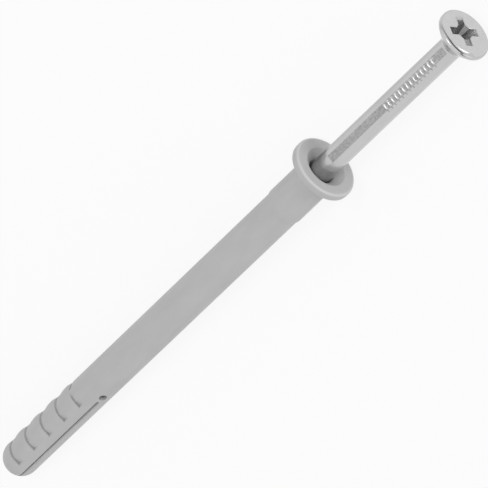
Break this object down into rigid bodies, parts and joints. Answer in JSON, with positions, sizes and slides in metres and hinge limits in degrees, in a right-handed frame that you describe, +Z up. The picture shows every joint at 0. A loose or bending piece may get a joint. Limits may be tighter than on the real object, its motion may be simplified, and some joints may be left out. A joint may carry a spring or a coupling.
{
  "type": "hammer fixing",
  "caption": "Hammer fixing: grey nylon sleeve with a flat collar, a slit and barbed expansion end, and a countersunk cross-recess nail screw started in its bore.",
  "frame": {"origin": "centre of the bottom of the part's box, on the surface that it lies on with its collar's rim and its tip", "axes": "+Z up; +X from the sleeve's tip towards the screw's head, above which the fixing's own axis leans by 1.74 degrees; slit turned 45 degrees from the top towards -Y"},
  "size_m": [0.1602, 0.0142, 0.0145],
  "materials": {
    "grey_nylon": "moulded, satin",
    "zinc_plated_steel": "bright zinc plated, satin"
  },
  "bodies": {
    "sleeve": {"expansion_sleeve": "grey_nylon"},
    "screw": {"nail_screw": "zinc_plated_steel"}
  },
  "joints": [
    {"name": "screw_drive", "type": "slide", "parent": "sleeve", "child": "screw", "axis": [-0.9995, 0, -0.0304], "range_m": [0, 0.04598]}
  ]
}
